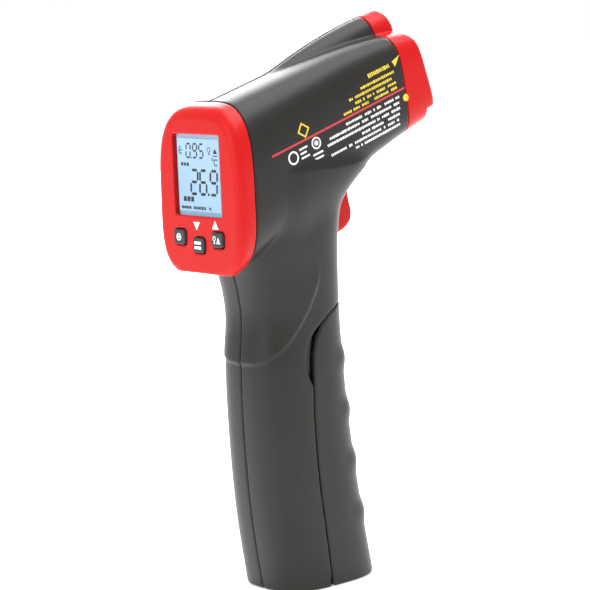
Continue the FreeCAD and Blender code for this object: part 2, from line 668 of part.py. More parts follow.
def housing_half(side):
    low, high = mirrored_span(side, 0.0, 60.0)
    block = box_at(UPRIGHT, -100, 100, low, high, -20, 220)
    low, high = mirrored_span(side, 15.2, 30.0)
    scoop = cylinder_y(5.8, 72.0, 12.9, low, high)
    knuckle_space = cylinder_y(cover_x, cover_z, cover_z + 0.25, -40, 40)
    half = between_seams.common(block).cut(cover_region(0.0)).cut(hollow)
    for tool in (knuckle_space, slot, scoop):
        half = half.cut(tool)
    ribs = [box_at(UPRIGHT, spring_x - 1.6, spring_x, -19, 19, 115.2, 120.8), ring_rib]
    holes = []
    for x, z in SCREWS:
        ribs.append(cylinder_y(x, z, D["boss_radius"], *mirrored_span(side, 0.1, 22)))
        holes.append(cylinder_y(x, z, D["screw_radius"] + D["pin_clearance"],
                                head_start - D["screw_length"] - 1, 22))
        holes.append(cylinder_y(x, z, D["screw_head_radius"] + 0.2, head_start, 25))
    low, high = mirrored_span(side, KNUCKLE_HALF + 0.3, EAR_HALF)
    ear = cylinder_y(cover_x, cover_z, knuckle - 0.2, low, high)
    ribs.append(ear.fuse(box_at(UPRIGHT, -12, cover_x, low, high, 1.2, cover_z + 1.9)))
    holes.append(cylinder_y(cover_x, cover_z, D["cover_pin_radius"] + 0.02, -EAR_HALF - 1, EAR_HALF + 1))
    low, high = mirrored_span(side, half_trigger + D["trigger_gap"], 20)
    ribs.append(cylinder_y(pivot_x, pivot_z, 2.6, low, high))
    holes.append(cylinder_y(pivot_x, pivot_z, D["trigger_pin_radius"] + 0.02, -9.7, 9.7))
    outline = outside.common(block)
    return half.fuse([rib.common(outline) for rib in ribs]).cut(holes)


keep(coded("LeftHousing", housing_half(1)), "left_housing")
keep(coded("RightHousing", housing_half(-1)), "right_housing")

screws = []
for k, (x, z) in enumerate(SCREWS):
    shank = rod(f"Shank{k}", UPRIGHT, x, head_start - D["screw_length"], z, "Dimensions.screw_radius",
                "Dimensions.screw_length + 0.1", ALONG_Y)
    head = rod(f"Head{k}", UPRIGHT, x, head_start + 0.02, z, "Dimensions.screw_head_radius",
               "Dimensions.screw_head_height",
               ALONG_Y)
    screws.append(fuse(f"Screw{k}", shank, head))
keep(group("HousingScrews", *screws), "housing_screws")

# ---------------------------------------------------------------- check and write

doc.recompute()
for item in doc.Objects:
    if "Invalid" in item.State or "Error" in item.State:
        raise RuntimeError(f"{item.Label} did not recompute: {item.State}")
os.makedirs("parts", exist_ok=True)
for item in PARTS:
    if item.Shape.isNull() or not item.Shape.isValid():
        raise RuntimeError(f"{item.Label} has no valid shape")
    item.Shape.exportStep(f"parts/{item.Label}.step")
    print(f"{item.Label:20s} {len(item.Shape.Solids)} solids {item.Shape.Volume:10.1f} mm3")
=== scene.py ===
import json
import math
import bpy
import numpy as np
import openvdb
from mathutils import Matrix, Vector


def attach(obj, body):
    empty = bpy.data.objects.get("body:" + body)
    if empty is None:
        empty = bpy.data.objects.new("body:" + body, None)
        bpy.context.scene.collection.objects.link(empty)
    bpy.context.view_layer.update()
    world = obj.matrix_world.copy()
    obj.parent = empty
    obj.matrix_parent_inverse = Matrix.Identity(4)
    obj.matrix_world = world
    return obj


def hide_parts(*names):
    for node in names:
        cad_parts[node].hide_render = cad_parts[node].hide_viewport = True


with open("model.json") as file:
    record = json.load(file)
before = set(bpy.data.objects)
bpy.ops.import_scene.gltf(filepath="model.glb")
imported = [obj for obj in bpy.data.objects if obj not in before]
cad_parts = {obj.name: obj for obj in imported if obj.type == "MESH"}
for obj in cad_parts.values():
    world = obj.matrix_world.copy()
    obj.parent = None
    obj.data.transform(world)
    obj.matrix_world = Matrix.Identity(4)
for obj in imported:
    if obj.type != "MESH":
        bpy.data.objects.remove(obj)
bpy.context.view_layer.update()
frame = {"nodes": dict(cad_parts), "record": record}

# Shapes are written in millimetres, in the CAD's own frames, and become metres in add_mesh.
# Three frames share the same Y: the row frame, BARREL along the pitched head, and FACE on the
# display. Each of the last two turns about HEAD_ORIGIN, given as x and z in the row frame.

MM = 0.001
SHELL_STEP = 0.5
TRIM_STEP = 0.3
KEY_STEP = 0.14

HEAD_ORIGIN = (-24.5, 155.0)
BARREL_TURN = math.radians(-15.0)
FACE_TURN = math.radians(2.4)
FACE_AT = -6.1
FRONT_SEAM = 63.3
FRONT_SEAM_LEAN = math.radians(9.0)
FRONT_FACE = 71.6
HEAD_LENGTH = 72.0
HUMP_RADIUS = 7.0
HUMP_MELT = 0.8
CHIN_FROM = 68.0
CHIN_TOP = -28.6
WALL = 2.0
SEAM_GAP = 0.08
SEAM_ROUND = 0.3
OPTIC = -16.6
LASER = -2.95
APERTURE = 9.1
LASER_HOLE = 1.9
# width, height and middle of the display opening on the face
WINDOW = (22.0, 22.7, -22.2)
WINDOW_SEAT = 1.2
KEYS = {"left": (9.8, -41.5), "middle": (0.0, -43.6), "right": (-9.8, -41.5)}
KEY_SIZE = (5.6, 4.7)
KEY_GAP = 0.25
COVER_PIVOT = (-1.6, 2.2)
COVER_KNUCKLE = 2.1
COVER_GAP = 0.2
KNUCKLE_GAP = 0.25
KNUCKLE_REACH = 10.8
EAR_MIDDLE = 12.35
EAR_HALF = 1.25
PIN_BORE = 0.85
PIN_REACH = 13.9
TRIGGER_PIVOT = (10.4, 122.4)
TRIGGER_BORE = 1.05
TRIGGER_HALF = 5.5
TRIGGER_SLOT_GAP = 0.85
TRIGGER_SIDE_GAP = 0.35
SCREW_BOSS = 3.3
SCREW_BORE = 1.45
SCREW_REACH = 7.5
SCREW_HEAD = 2.8
SCREW_SEAT = 6.5
# x, z and radius of the scoop for a fingertip at the cover's edge, and where it starts across
SCOOP = (5.8, 72.0, 12.9)
SCOOP_FROM = 15.2
WINDOW_RECESS = 0.25
WINDOW_THICKNESS = 0.6

GRIP_TOP = 130.0
# height, back, front, half width and squareness of the grip's sections
GRIP = [
    (0.0, -18.7, 19.4, 16.6, 2.9),
    (22.0, -20.8, 16.7, 16.6, 2.9),
    (48.0, -21.5, 14.4, 16.5, 2.85),
    (70.0, -20.7, 13.4, 16.5, 2.85),
    (90.0, -18.9, 13.4, 16.6, 2.8),
    (100.0, -20.4, 13.6, 17.2, 2.9),
    (110.0, -24.0, 14.0, 18.0, 3.1),
    (121.0, -24.0, 16.2, 18.7, 3.4),
    (130.0, -24.0, 23.4, 18.9, 3.8),
]
# Side-view outlines, as x and z: the cover's region, the palm's region and the trigger.
COVER_SEAM = [
    (-3.2, -5), (-3.9, 9), (-4.8, 22), (-5.5, 32), (-5.8, 44), (-5.6, 56), (-4.8, 68),
    (-4.2, 74.5), (-2.9, 79.5), (-0.4, 83.4), (3.2, 86.2), (8.0, 88.4), (16.0, 90.6),
    (40, 94), (40, -5),
]
RIDGE = [
    (0.4, 110), (0.4, 102.8), (-0.5, 97.3), (-2.5, 93), (-5.4, 88.1), (-9.8, 82.5), (-14.2, 77.6),
    (-18.4, 74.2), (-21.7, 71.8), (-26, 70.8), (-40, 70.6), (-40, 110),
]
TRIGGER_OUTLINE = [
    (22.6, 128.0), (24.6, 115.2), (23.9, 112.2), (21.6, 109.9), (16.0, 107.6), (9.2, 106.4),
    (7.4, 108.2), (7.2, 124.6), (9.6, 126.2), (15.2, 126.4),
]
RIDGE_HEIGHT = 0.55
RIDGE_TOP = 104.0
FINGER_RIBS = (71.0, 54.5, 38.0, 21.0)
RIB_HEIGHT = 0.75
RIB_HALF = 5.5


def blend(start, end, share):
    return start + (end - start) * share


def unit(value):
    return np.clip(value, 0.0, 1.0)


def ease(value):
    """0 below 0, 1 above 1, and smooth between."""
    value = unit(value)
    return value * value * (3 - 2 * value)


# ---------------------------------------------------------------- space and distance fields

class Space:
    """A lattice of points in a box of one frame, where a shape is a field, negative inside it."""

    def __init__(self, low, high, step, turn=0.0, origin=(0.0, 0.0)):
        self.low = np.array(low, float)
        self.step = step
        counts = [int(math.ceil((b - a) / step)) + 1 for a, b in zip(low, high)]
        along, across, up = [
            (a + step * np.arange(n)).astype(np.float32) for a, n in zip(low, counts)
        ]
        self.shape = tuple(counts)
        self.turn = turn
        self.origin = origin
        self.along = along[:, None, None]
        self.y = across[None, :, None]
        self.up = up[None, None, :]
        self.x = origin[0] + self.along * math.cos(turn) + self.up * math.sin(turn)
        self.z = origin[1] - self.along * math.sin(turn) + self.up * math.cos(turn)

    def seen_from(self, turn):
        """The lattice's forward and up coordinates in a head frame with that turn."""
        ahead = self.x - HEAD_ORIGIN[0]
        high = self.z - HEAD_ORIGIN[1]
        c, s = math.cos(turn), math.sin(turn)
        return ahead * c - high * s, ahead * s + high * c

    def to_distance(self, squareness):
        """A field that is 1 on the surface, turned into millimetres from it."""
        slopes = np.gradient(squareness, self.step)
        steepness = np.sqrt(sum(slope * slope for slope in slopes))
        return (squareness - 1) / np.maximum(steepness, 0.02)

    def row_points(self, points):
        """Lattice indices as row-frame millimetres."""
        local = points * self.step + self.low
        row = np.empty_like(local)
        c, s = math.cos(self.turn), math.sin(self.turn)
        row[:, 0] = self.origin[0] + local[:, 0] * c + local[:, 2] * s
        row[:, 1] = local[:, 1]
        row[:, 2] = self.origin[1] - local[:, 0] * s + local[:, 2] * c
        return row


def carve(a, b, radius):
    """What is inside both fields, with the edge between them rounded."""
    corner = np.sqrt(np.maximum(a + radius, 0) ** 2 + np.maximum(b + radius, 0) ** 2)
    return np.minimum(np.maximum(a, b), -radius) + corner


def melt(a, b, width):
    """What is inside either field, with the crease between them filled."""
    share = np.maximum(width - np.abs(a - b), 0) / width
    return np.minimum(a, b) - share * share * width / 4


def join(a, b):
    return np.minimum(a, b)


def rounded_box(a, b, half_a, half_b, radius):
    """A rectangle with rounded corners, as a field of two coordinates."""
    over_a = np.abs(a) - half_a + radius
    over_b = np.abs(b) - half_b + radius
    outside = np.sqrt(np.maximum(over_a, 0) ** 2 + np.maximum(over_b, 0) ** 2)
    return outside + np.minimum(np.maximum(over_a, over_b), 0) - radius


def polygon(points, x, z):
    """Distance from a closed outline in side view, negative inside it."""
    nearest = np.full(np.broadcast(x, z).shape, 1e9, np.float32)
    inside = np.zeros(nearest.shape, bool)
    for (x0, z0), (x1, z1) in zip(points, points[1:] + points[:1]):
        run = (x1 - x0, z1 - z0)
        length = run[0] ** 2 + run[1] ** 2
        share = unit(((x - x0) * run[0] + (z - z0) * run[1]) / length)
        gap = np.hypot(x - x0 - share * run[0], z - z0 - share * run[1])
        nearest = np.minimum(nearest, gap)
        if z0 != z1:
            crosses = ((z0 > z) != (z1 > z)) & (x < x0 + (z - z0) * run[0] / run[1])
            inside ^= crosses
    return np.where(inside, -nearest, nearest)


def soften(flat, step, reach):
    """Rounds the corners of a side-view field by averaging it."""
    for _ in range(int(round((reach / step) ** 2))):
        padded = np.pad(flat, ((1, 1), (0, 0), (1, 1)), mode="edge")
        flat = (padded[1:-1, :, 1:-1] * 2 + padded[:-2, :, 1:-1] + padded[2:, :, 1:-1]
                + padded[1:-1, :, :-2] + padded[1:-1, :, 2:]) / 6
    return flat


def rod_y(space, x, z, radius):
    return np.hypot(space.x - x, space.z - z) - radius


# ---------------------------------------------------------------- the outer form

def head_width(u):
    """Half of the head's width."""
    return blend(21.0, 17.6, u / HEAD_LENGTH)


def head_middle(u):
    return blend(-27.0, -17.5, np.maximum(u / HEAD_LENGTH, -0.3))


def head_power(u):
    return blend(3.4, 4.5, unit(u / HEAD_LENGTH))


def head_top(u):
    return -0.0031 * np.maximum(u - 38.0, 0) ** 2


def head_bottom(u):
    """Steep past the grip and gentle ahead of it, with a soft bend between."""
    steep = -45.9 + 0.231 * u
    gentle = -35.35 + 0.108 * (u - 45.6)
    return np.minimum(steep, gentle) - 0.4 * np.exp(-((u - 45.6) / 6.0) ** 2)


def head_field(space):
    u, w = space.seen_from(BARREL_TURN)
    middle = head_middle(u)
    power = head_power(u)
    rise = w - middle
    reach = np.where(rise > 0, head_top(u) - middle, middle - head_bottom(u))
    across = (np.abs(space.y) / head_width(u)) ** power
    high = (np.abs(rise) / reach) ** power
    return space.to_distance((across + high) ** (1 / power))


def hump_field(space):
    u, w = space.seen_from(BARREL_TURN)
    crest = 4.05 * (1 - (np.minimum(u - 62.0, 0) / 38.0) ** 2)
    return np.sqrt(space.y ** 2 + (w - crest + HUMP_RADIUS) ** 2) - HUMP_RADIUS


def grip_sizes(z):
    """Back, front, half width and squareness at a height, on smooth curves through the sections."""
    table = np.array(GRIP)
    heights = table[:, 0]
    slopes = np.gradient(table[:, 1:], heights, axis=0)
    flat = np.clip(z, heights[0], heights[-1])
    k = np.clip(np.searchsorted(heights, flat, side="right") - 1, 0, len(heights) - 2)
    span = heights[k + 1] - heights[k]
    t = ((flat - heights[k]) / span)[..., None]
    span = span[..., None]
    t2, t3 = t ** 2, t ** 3
    start = table[k, 1:] * (2 * t3 - 3 * t2 + 1) + table[k + 1, 1:] * (3 * t2 - 2 * t3)
    bend = slopes[k] * (t3 - 2 * t2 + t) * span + slopes[k + 1] * (t3 - t2) * span
    return np.moveaxis((start + bend).astype(np.float32), -1, 0)


def grip_field(space):
    back, front, half, power = grip_sizes(space.z)
    centre = (back + front) / 2
    deep = (front - back) / 2
    fore = (np.abs(space.x - centre) / deep) ** power
    across = (np.abs(space.y) / half) ** power
    grip = space.to_distance((fore + across) ** (1 / power))
    facing = ease(((space.x - centre) / deep - 0.45) / 0.4)
    ribs = sum(ease(1 - np.abs(space.z - height) / RIB_HALF) for height in FINGER_RIBS)
    return np.maximum(grip - RIB_HEIGHT * facing * ribs, space.z - GRIP_TOP)


def faces(space, body):
    """Cuts the display face, the muzzle and the chin, with their rounded edges."""
    u, w = space.seen_from(BARREL_TURN)
    depth, _ = space.seen_from(FACE_TURN)
    body = carve(body, FACE_AT - depth, 3.2)
    body = carve(body, u - FRONT_FACE, 2.0)
    return carve(body, -np.maximum(CHIN_FROM - u, w - CHIN_TOP), 1.0)


def whole_form(space):
    head = melt(head_field(space), hump_field(space), HUMP_MELT)
    fill = blend(1.0, 6.0, ease((space.x + 18.0) / 14.0))
    body = melt(head, grip_field(space), fill)
    palm = -polygon(RIDGE, space.x, space.z)
    rise = ease((RIDGE_TOP - space.z) / 12.0) * ease((palm + 0.3) / 0.6)
    body = body - RIDGE_HEIGHT * (rise * np.exp(-np.maximum(palm, 0) / 9.0))
    body = carve(body, -space.z, 1.0)
    return faces(space, body)


# ---------------------------------------------------------------- meshes from fields

def sample(field, points):
    """Field value and slope at points given in lattice indices."""
    limit = np.array(field.shape) - 2
    cell = np.clip(np.floor(points).astype(int), 0, limit)
    part = points - cell
    corner = {}
    for i in (0, 1):
        for j in (0, 1):
            for k in (0, 1):
                corner[i, j, k] = field[cell[:, 0] + i, cell[:, 1] + j, cell[:, 2] + k]
    weight = [(1 - part[:, axis], part[:, axis]) for axis in range(3)]
    value = sum(corner[i, j, k] * weight[0][i] * weight[1][j] * weight[2][k] for i, j, k in corner)
    slope = np.zeros_like(points)
    for i, j, k in corner:
        here = corner[i, j, k]
        slope[:, 0] += here * (2 * i - 1) * weight[1][j] * weight[2][k]
        slope[:, 1] += here * (2 * j - 1) * weight[0][i] * weight[2][k]
        slope[:, 2] += here * (2 * k - 1) * weight[0][i] * weight[1][j]
    return value, slope


def mesh_of_field(name, space, field):
    """The surface where the field is zero, drawn onto it and given smooth shading."""
    field = np.broadcast_to(field, space.shape).astype(np.float32)
    grid = openvdb.FloatGrid(5.0)
    grid.copyFromArray(np.ascontiguousarray(field))
    points, triangles, quads = grid.convertToPolygons(isovalue=0.0, adaptivity=0.0)
    points = points.astype(float)
    for _ in range(3):
        value, slope = sample(field, points)
        steep = np.maximum((slope * slope).sum(1), 1e-4)
        move = slope * (value / steep)[:, None]
        points = points - np.clip(move, -0.4, 0.4)
    faces_list = quads[:, ::-1].tolist() + triangles[:, ::-1].tolist()
    return add_mesh(name, space.row_points(points), faces_list)


def add_mesh(name, points, faces_list):
    mesh = bpy.data.meshes.new(name)
    mesh.from_pydata((np.asarray(points) * MM).tolist(), [], faces_list)
    mesh.validate()
    mesh.shade_smooth()
    item = bpy.data.objects.new(name, mesh)
    bpy.context.scene.collection.objects.link(item)
    return item


def outward(item):
    """Turns the faces of a closed piece outward."""
    mesh = item.data
    mesh.calc_loop_triangles()
    corners = np.empty(len(mesh.loop_triangles) * 3, np.int32)
    mesh.loop_triangles.foreach_get("vertices", corners)
    places = np.empty(len(mesh.vertices) * 3, np.float32)
    mesh.vertices.foreach_get("co", places)
    a, b, c = places.reshape(-1, 3)[corners.reshape(-1, 3)].transpose(1, 0, 2)
    if (a * np.cross(b, c)).sum() < 0:
        mesh.flip_normals()
    return item


# ---------------------------------------------------------------- materials

def finish(name, colour, roughness, grain=0.0004, bump=0.12, metallic=0.0, coat=0.0,
           mottle=0.08, gleam=0.5):
    """A moulded, cast or printed surface: fine grain, slight unevenness of colour and gloss."""
    material = bpy.data.materials.new(name)
    material.use_nodes = True
    nodes = material.node_tree.nodes
    links = material.node_tree.links
    shader = nodes["Principled BSDF"]
    shader.inputs["Metallic"].default_value = metallic
    shader.inputs["Coat Weight"].default_value = coat
    shader.inputs["Specular IOR Level"].default_value = gleam
    shader.inputs["Coat Roughness"].default_value = 0.25
    place = nodes.new("ShaderNodeTexCoord")
    cloud = nodes.new("ShaderNodeTexNoise")
    cloud.inputs["Scale"].default_value = 60.0
    cloud.inputs["Detail"].default_value = 4.0
    links.new(place.outputs["Object"], cloud.inputs["Vector"])
    tint = nodes.new("ShaderNodeValToRGB")
    tint.color_ramp.elements[0].position = 0.3
    tint.color_ramp.elements[1].position = 0.7
    tint.color_ramp.elements[0].color = [c * (1 - mottle) for c in colour] + [1]
    tint.color_ramp.elements[1].color = [min(c * (1 + mottle), 1) for c in colour] + [1]
    links.new(cloud.outputs["Fac"], tint.inputs["Fac"])
    links.new(tint.outputs["Color"], shader.inputs["Base Color"])
    fine = nodes.new("ShaderNodeTexNoise")
    fine.inputs["Scale"].default_value = 1.0 / grain
    fine.inputs["Detail"].default_value = 2.0
    links.new(place.outputs["Object"], fine.inputs["Vector"])
    gloss = nodes.new("ShaderNodeMapRange")
    gloss.inputs["To Min"].default_value = roughness - 0.06
    gloss.inputs["To Max"].default_value = roughness + 0.06
    links.new(fine.outputs["Fac"], gloss.inputs["Value"])
    links.new(gloss.outputs["Result"], shader.inputs["Roughness"])
    relief = nodes.new("ShaderNodeBump")
    relief.inputs["Strength"].default_value = bump
    relief.inputs["Distance"].default_value = 0.00006
    links.new(fine.outputs["Fac"], relief.inputs["Height"])
    links.new(relief.outputs["Normal"], shader.inputs["Normal"])
    return material


def display_finish():
    """A liquid crystal face with a painted glow, painted brighter at its top."""
    material = finish("lcd_face_painted_glow", (0.27, 0.42, 0.58), 0.5, bump=0.02, gleam=0.2)
    nodes = material.node_tree.nodes
    links = material.node_tree.links
    shader = nodes["Principled BSDF"]
    place = nodes.new("ShaderNodeTexCoord")
    split = nodes.new("ShaderNodeSeparateXYZ")
    links.new(place.outputs["Object"], split.inputs["Vector"])
    # painted light: the emission is a painted glow, ramped brighter towards the top of the display
    ramp = nodes.new("ShaderNodeMapRange")
    ramp.inputs["From Min"].default_value = 0.116
    ramp.inputs["From Max"].default_value = 0.144
    links.new(split.outputs["Z"], ramp.inputs["Value"])
    painted_glow = nodes.new("ShaderNodeValToRGB")
    painted_glow.color_ramp.elements[0].color = (0.42, 0.69, 0.93, 1)
    painted_glow.color_ramp.elements[1].color = (0.66, 0.84, 0.98, 1)
    links.new(ramp.outputs["Result"], painted_glow.inputs["Fac"])
    links.new(painted_glow.outputs["Color"], shader.inputs["Emission Color"])
    shader.inputs["Emission Strength"].default_value = 0.27
    return material


def clear_finish():
    """Clear hard-coated plastic."""
    material = finish("clear_window", (1.0, 1.0, 1.0), 0.08, bump=0.01, mottle=0.01)
    shader = material.node_tree.nodes["Principled BSDF"]
    shader.inputs["Transmission Weight"].default_value = 1.0
    shader.inputs["IOR"].default_value = 1.05
    return material


def board_finish():
    """Green solder mask over copper tracks."""
    material = finish("circuit_board", (0.01, 0.16, 0.05), 0.35, bump=0.05)
    nodes = material.node_tree.nodes
    links = material.node_tree.links
    place = nodes.new("ShaderNodeTexCoord")
    tracks = nodes.new("ShaderNodeTexBrick")
    tracks.inputs["Scale"].default_value = 260.0
    tracks.inputs["Color1"].default_value = (0.01, 0.15, 0.05, 1)
    tracks.inputs["Color2"].default_value = (0.015, 0.19, 0.07, 1)
    tracks.inputs["Mortar"].default_value = (0.03, 0.33, 0.12, 1)
    tracks.inputs["Mortar Size"].default_value = 0.06
    links.new(place.outputs["Object"], tracks.inputs["Vector"])
    links.new(tracks.outputs["Color"], nodes["Principled BSDF"].inputs["Base Color"])
    return material


def battery_finish():
    """A plain two-band battery jacket."""
    material = finish("battery_jacket", (0.03, 0.03, 0.035), 0.3, coat=0.3)
    nodes = material.node_tree.nodes
    links = material.node_tree.links
    place = nodes.new("ShaderNodeTexCoord")
    split = nodes.new("ShaderNodeSeparateXYZ")
    links.new(place.outputs["Object"], split.inputs["Vector"])
    bands = nodes.new("ShaderNodeValToRGB")
    bands.color_ramp.interpolation = "CONSTANT"
    bands.color_ramp.elements[0].color = (0.02, 0.02, 0.025, 1)
    bands.color_ramp.elements[1].position = 0.7
    bands.color_ramp.elements[1].color = (0.55, 0.36, 0.12, 1)
    height = nodes.new("ShaderNodeMapRange")
    height.inputs["From Min"].default_value = 0.012
    height.inputs["From Max"].default_value = 0.058
    links.new(split.outputs["Z"], height.inputs["Value"])
    links.new(height.outputs["Result"], bands.inputs["Fac"])
    links.new(bands.outputs["Color"], nodes["Principled BSDF"].inputs["Base Color"])
    return material


FINISHES = {
    "dark_case": finish("dark_case", (0.0175, 0.0162, 0.0142), 0.4, bump=0.2, gleam=0.28),
    "red_trim": finish("red_trim", (0.54, 0.006, 0.006), 0.36, bump=0.06, mottle=0.03, gleam=0.2),
    "clear_window": clear_finish(),
    "lcd": display_finish(),
    "white_plastic": finish("white_plastic", (0.8, 0.8, 0.77), 0.45),
    "black_rubber": finish("black_rubber", (0.015, 0.015, 0.015), 0.7),
    "button_rubber": finish("button_rubber", (0.04, 0.038, 0.038), 0.5, bump=0.1, gleam=0.3),
    "circuit_board": board_finish(),
    "black_plastic": finish("black_plastic", (0.018, 0.018, 0.018), 0.45),
    "infrared_lens": finish("infrared_lens", (0.05, 0.035, 0.035), 0.12, bump=0.01, coat=0.6),
    "tin_can": finish("tin_can", (0.6, 0.6, 0.6), 0.3, metallic=1.0, bump=0.05),
    "brass": finish("brass", (0.72, 0.5, 0.2), 0.25, metallic=1.0, bump=0.05),
    "steel": finish("steel", (0.55, 0.55, 0.57), 0.28, metallic=1.0, bump=0.05),
    "battery_jacket": battery_finish(),
    "red_lead": finish("red_lead", (0.6, 0.02, 0.02), 0.5),
}
INK_WHITE = finish("ink_white", (0.85, 0.85, 0.85), 0.5, mottle=0.03)
INK_YELLOW = finish("ink_yellow", (0.75, 0.55, 0.05), 0.5, mottle=0.05)
INK_RED = finish("ink_red", (0.55, 0.03, 0.04), 0.5, mottle=0.05)
SEGMENT = finish("segment_black", (0.01, 0.012, 0.02), 0.5, mottle=0.05)

for entry in frame["record"]["subparts"]:
    node = frame["nodes"][entry["node"]]
    node.data.materials.clear()
    node.data.materials.append(FINISHES[entry["material_slot"]])


def settle(item, body, slot_name, *replaced, material=None):
    """Gives a piece its material, picked by slot name unless one is given, attaches it to its body
    and hides the CAD nodes that it stands for.
    """
    item.data.materials.append(material or FINISHES[slot_name])
    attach(item, body)
    if replaced:
        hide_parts(*replaced)
    return item


# ---------------------------------------------------------------- housing halves and battery cover

def housing_screws():
    """Centres of the housing screws in side view."""
    c, s = math.cos(BARREL_TURN), math.sin(BARREL_TURN)
    on_head = [(9.0, -7.0), (36.5, -7.5)]
    spots = [(HEAD_ORIGIN[0] + u * c + w * s, HEAD_ORIGIN[1] - u * s + w * c) for u, w in on_head]
    return spots + [(-12.5, 98.5), (-15.3, 74.0), (-15.8, 42.0), (-14.2, 8.0)]


def trigger_side(space):
    return soften(polygon(TRIGGER_OUTLINE, space.x, space.z), space.step, 0.9)


def past_front_seam(u, w):
    """How far ahead of the leaning seam between the housing and the front bezel."""
    return (u - FRONT_SEAM) * math.cos(FRONT_SEAM_LEAN) - w * math.sin(FRONT_SEAM_LEAN)


def housing_half(space, form, side):
    """One half of the housing: side is 1 for port and -1 for starboard."""
    u, w = space.seen_from(BARREL_TURN)
    depth, _ = space.seen_from(FACE_TURN)
    outward_y = space.y * side
    half = carve(form, SEAM_GAP - depth, SEAM_ROUND)
    half = carve(half, past_front_seam(u, w) + SEAM_GAP, SEAM_ROUND)
    half = carve(half, SEAM_GAP - polygon(COVER_SEAM, space.x, space.z), SEAM_ROUND)
    half = carve(half, -rod_y(space, *COVER_PIVOT, COVER_PIVOT[1] + KNUCKLE_GAP), SEAM_ROUND)
    slot_side = outward_y - TRIGGER_HALF - TRIGGER_SIDE_GAP
    slot = np.maximum(trigger_side(space) - TRIGGER_SLOT_GAP, slot_side)
    half = carve(half, -slot, 0.5)
    scoop = np.maximum(rod_y(space, *SCOOP), SCOOP_FROM - outward_y)
    half = carve(half, -scoop, 0.7)
    half = np.maximum(half, -(form + WALL))
    inner = form + 0.8
    for x, z in housing_screws():
        half = join(half, np.maximum(rod_y(space, x, z, SCREW_BOSS), inner))
    ear_side = np.abs(outward_y - EAR_MIDDLE) - EAR_HALF
    ear = np.maximum(rod_y(space, *COVER_PIVOT, COVER_KNUCKLE - 0.2), ear_side)
    half = join(half, np.maximum(ear, inner))
    half = carve(half, SEAM_GAP - outward_y, SEAM_ROUND)
    for x, z in housing_screws():
        bore = np.maximum(rod_y(space, x, z, SCREW_BORE), outward_y - SCREW_REACH)
        half = np.maximum(half, -bore)
        if side > 0:
            seat = np.maximum(rod_y(space, x, z, SCREW_HEAD), SCREW_SEAT - outward_y)
            half = carve(half, -seat, 0.3)
    return half


def battery_cover(space, form):
    """The front of the grip, with its hinge barrel at the foot."""
    pivot_x, pivot_z = COVER_PIVOT
    cover = carve(form, polygon(COVER_SEAM, space.x, space.z) + COVER_GAP, SEAM_ROUND)
    knuckle = rod_y(space, pivot_x, pivot_z, pivot_z)
    heel = np.maximum(np.maximum(space.x - pivot_x, space.z - pivot_z), -knuckle)
    cover = np.maximum(cover, -heel)
    cover = np.maximum(cover, -(form + WALL))
    reach = np.abs(space.y)
    ear_room = rod_y(space, pivot_x, pivot_z, COVER_KNUCKLE + COVER_GAP)
    cover = np.maximum(cover, -np.maximum(ear_room, reach - PIN_REACH))
    web_length = np.maximum(pivot_x - space.x, space.x - pivot_x - 7)
    web_height = np.maximum(0.3 - space.z, space.z - 2.4)
    web = np.maximum(web_length, web_height)
    barrel = join(rod_y(space, pivot_x, pivot_z, COVER_KNUCKLE), web)
    cover = join(cover, np.maximum(barrel, reach - KNUCKLE_REACH))
    bore = rod_y(space, pivot_x, pivot_z, PIN_BORE)
    return np.maximum(cover, -np.maximum(bore, reach - PIN_REACH))


shell_space = Space((-34.0, -22.5, -2.0), (57.5, 22.5, 178.5), SHELL_STEP)
form = whole_form(shell_space)
for side, node in ((1, "left_housing"), (-1, "right_housing")):
    shell = mesh_of_field(node + "_shell", shell_space, housing_half(shell_space, form, side))
    settle(outward(shell), "housing", "dark_case", node)
cover = mesh_of_field("battery_cover_shell", shell_space, battery_cover(shell_space, form))
settle(outward(cover), "battery_cover", "dark_case", "battery_cover")

# ---------------------------------------------------------------- red trim

face_space = Space((-7.0, -22.0, -52.0), (1.0, 22.0, 3.0), TRIM_STEP, FACE_TURN, HEAD_ORIGIN)


def rear_bezel(space):
    form = faces(space, head_field(space))
    bezel = carve(form, space.along + SEAM_GAP, SEAM_ROUND)
    bezel = np.maximum(bezel, -(form + WALL))
    width, height, centre = WINDOW
    window = rounded_box(space.y, space.up - centre, width / 2, height / 2, 0.5)
    bezel = carve(bezel, -window, 0.2)
    seat_half = (width / 2 + WINDOW_SEAT, height / 2 + WINDOW_SEAT)
    seat = rounded_box(space.y, space.up - centre, *seat_half, 0.8)
    bezel = np.maximum(bezel, -np.maximum(seat, FACE_AT + WINDOW_RECESS - space.along))
    key_half = [size / 2 + KEY_GAP for size in KEY_SIZE]
    for y, s in KEYS.values():
        hole = rounded_box(space.y - y, space.up - s, *key_half, 1.3)
        bezel = carve(bezel, -hole, 0.3)
    return bezel


rear = mesh_of_field("rear_bezel_moulding", face_space, rear_bezel(face_space))
settle(outward(rear), "housing", "red_trim", "rear_bezel")

muzzle_space = Space((56.0, -19.5, -34.0), (72.6, 19.5, 5.5), TRIM_STEP, BARREL_TURN, HEAD_ORIGIN)


def front_bezel(space):
    form = faces(space, melt(head_field(space), hump_field(space), HUMP_MELT))
    bezel = carve(form, SEAM_GAP - past_front_seam(space.along, space.up), SEAM_ROUND)
    cavity = np.maximum(form + WALL, space.along - FRONT_FACE + 2.4)
    bezel = np.maximum(bezel, -cavity)
    aperture = np.hypot(space.y, space.up - OPTIC) - APERTURE
    bezel = carve(bezel, -aperture, 0.9)
    laser = np.hypot(space.y, space.up - LASER) - LASER_HOLE
    return carve(bezel, -laser, 0.4)


muzzle = mesh_of_field("front_bezel_moulding", muzzle_space, front_bezel(muzzle_space))
settle(outward(muzzle), "housing", "red_trim", "front_bezel")

trigger_space = Space((5.0, -7.0, 104.0), (27.0, 7.0, 130.5), TRIM_STEP)


